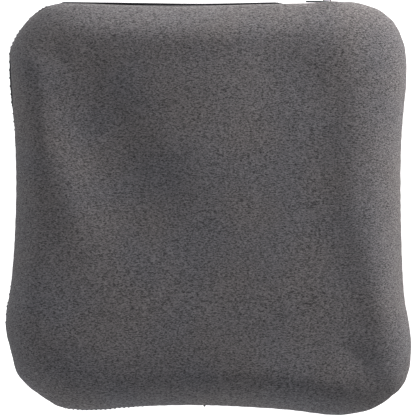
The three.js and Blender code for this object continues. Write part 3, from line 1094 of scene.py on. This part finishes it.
def finish_piece(obj, slot, body, *nodes):
    """Gives a piece its material, hangs it on the body it rides on, and hides the CAD nodes it
    stands for.
    """
    give_material(obj, looks[slot])
    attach(obj, body)
    if nodes:
        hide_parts(*nodes)
    return obj


finish_piece(top_panel, "suede_grey", "cushion", "cover_top_panel")
finish_piece(bottom_panel, "grip_cloth_black", "cushion", "cover_bottom_panel")
finish_piece(dots, "grip_dots_black", "cushion")

for word, side in (("upper", 1), ("lower", -1)):
    tape = sew_tape(f"tape_{word}", side)
    finish_piece(tape, "zip_tape_black", "cushion", f"zipper_tape_{word}")
    coil = coil_row(f"coil_{word}", side)
    finish_piece(coil, "zip_coil_black", "cushion", f"zipper_coil_{word}")
    stop = bevelled(f"end_stop_{word}", f"top_stop_{word}", STOP_BEVEL)
    finish_piece(stop, "zip_metal_black", "cushion", f"top_stop_{word}")
    hem = hem_stitching(f"hem_stitches_{word}", top_panel if side > 0 else bottom_panel, side)
    finish_piece(hem, "thread_black", "cushion")
finish_piece(seam_knot(bottom_panel), "thread_black", "cushion")
for name, node, body, bevel in (
    ("start_stop", "bottom_stop", "cushion", STOP_BEVEL),
    ("zip_slider_body", "slider_body", "zip_slider", SLIDER_BEVEL),
    ("zip_pull_tab", "pull_tab", "zip_pull", SLIDER_BEVEL),
):
    finish_piece(bevelled(name, node, bevel), "zip_metal_black", body, node)

finish_piece(liner, "liner_white", "cushion", "inner_liner")
for layer, slot, node in ((comfort_foam, "comfort_foam", "foam_comfort_layer"),
                          (base_foam, "base_foam", "foam_base_layer")):
    finish_piece(layer, slot, "cushion", node)

# ---- Floor, lights and camera -------------------------------------------------------------

# Round soft lights: direction in degrees from +X, degrees over the floor, diameter in metres, power
# in watts, colour
LIGHTS = {
    "key": (38, 9, 0.5, 45, (1.0, 0.97, 0.95)),
    "back": (102, 8, 0.5, 16, (1.0, 0.98, 0.96)),
    "left": (185, 45, 0.7, 5.5, (0.96, 0.97, 1.0)),
    "front": (262, 45, 0.7, 11.5, (0.97, 0.98, 1.0)),
}
LIGHT_DISTANCE = 1.4
FLOOR_HALF = 4
FLOOR_DROP = 0.2 * MM
FLOOR_GLOW = 0.75
SKY = (0.93, 0.95, 1.0)
SKY_STRENGTH = 0.06


def lay_floor():
    corners = [(-1, -1, 0), (1, -1, 0), (1, 1, 0), (-1, 1, 0)]
    points = [Vector(corner) * FLOOR_HALF for corner in corners]
    floor = new_object("floor", points, [(0, 1, 2, 3)])
    floor.location.z = -FLOOR_DROP
    look = Look("floor_pale", 0.9)
    look.shader.inputs["Base Color"].default_value = (0.9, 0.9, 0.9, 1)
    look.shader.inputs["Emission Color"].default_value = (1, 1, 1, 1)
    look.shader.inputs["Emission Strength"].default_value = FLOOR_GLOW
    give_material(floor, look.material)


def light_sky():
    world = bpy.data.worlds.new("studio")
    world.use_nodes = True
    background = world.node_tree.nodes["Background"]
    background.inputs["Color"].default_value = (*SKY, 1)
    background.inputs["Strength"].default_value = SKY_STRENGTH
    bpy.context.scene.world = world


def add_light(name, around, above, size, power, color):
    """A round soft light aimed at the top of the pad."""
    around, above = math.radians(around), math.radians(above)
    level = math.cos(above)
    aim = Vector((level * math.cos(around), level * math.sin(around), math.sin(above)))
    place = aim * LIGHT_DISTANCE
    light = bpy.data.lights.new(name, "AREA")
    light.shape = "DISK"
    light.size = size
    light.energy = power
    light.color = color
    obj = bpy.data.objects.new(name, light)
    obj.location = place + Vector((0, 0, TOP_Z))
    obj.rotation_euler = (-place).to_track_quat("-Z", "Y").to_euler()
    bpy.context.scene.collection.objects.link(obj)


CAMERA_HEIGHT = 2.4
PICTURE_WIDTH = 416 * MM     # what the picture takes in at the seam's level


def camera():
    """Straight above the pad, its back edge at the top of the picture."""
    data = bpy.data.cameras.new("camera")
    data.sensor_width = 36
    data.lens = data.sensor_width * (CAMERA_HEIGHT - SEAM_Z) / PICTURE_WIDTH
    obj = bpy.data.objects.new("camera", data)
    obj.location = (0, 0, CAMERA_HEIGHT)
    bpy.context.scene.collection.objects.link(obj)
    bpy.context.scene.camera = obj


lay_floor()
light_sky()
for name, values in LIGHTS.items():
    add_light(name, *values)
camera()
bpy.context.scene.view_settings.view_transform = "Standard"
